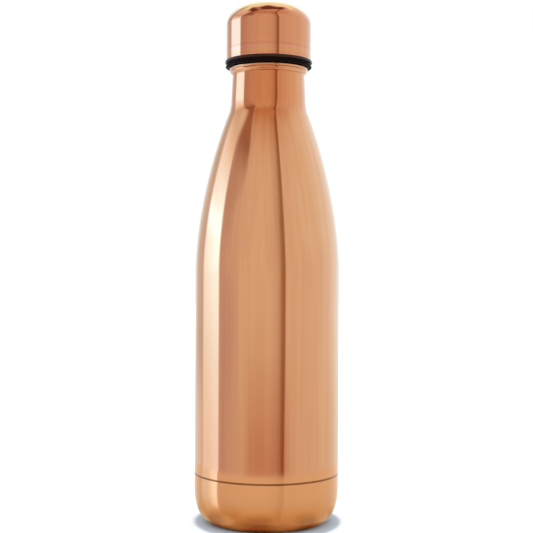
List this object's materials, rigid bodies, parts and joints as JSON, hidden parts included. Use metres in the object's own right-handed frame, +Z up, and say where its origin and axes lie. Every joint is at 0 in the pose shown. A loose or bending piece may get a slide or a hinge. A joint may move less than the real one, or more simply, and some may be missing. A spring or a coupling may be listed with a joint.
{
  "type": "vacuum water bottle",
  "caption": "Cola-shaped double-wall water bottle in mirror copper finish, with a pressed base cup, vacuum flask inside, black sealing ring and a screw cap with a threaded stopper.",
  "frame": {"origin": "centre of the foot, on the surface the bottle stands on", "axes": "+Z up along the bottle's axis; the outside is round, so +X and +Y are free"},
  "size_m": [0.073, 0.073, 0.2614],
  "materials": {
    "copper_finish": "polished",
    "steel": "satin",
    "copper_foil": "satin",
    "silicone": "matte",
    "stopper_plastic": "satin",
    "foam": "matte",
    "getter_pill": "matte"
  },
  "bodies": {
    "bottle": {"outer_shell": "copper_finish", "base_cup": "copper_finish", "outer_bottom": "steel", "seal_bead": "steel", "getter": "getter_pill", "getter_strap": "steel", "inner_flask": "steel", "inner_bottom": "steel", "radiation_shield": "copper_foil"},
    "seal": {"sealing_ring": "silicone"},
    "cap": {"stopper": "stopper_plastic", "stopper_end_cap": "stopper_plastic", "stopper_foam": "foam", "cap_liner": "stopper_plastic", "cap_cover": "copper_finish"}
  },
  "joints": [
    {"name": "cap_lift", "type": "slide", "parent": "bottle", "child": "seal", "axis": [0, 0, 1], "range_m": [0, 0.036]},
    {"name": "cap_turn", "type": "hinge", "parent": "seal", "child": "cap", "pos_m": [0, 0, 0.22], "axis": [0, 0, 1], "range_deg": [0, 3240]}
  ],
  "couplings": [
    {"joint": "cap_lift", "follows": "cap_turn", "m_per_rad": 0.00063662}
  ]
}
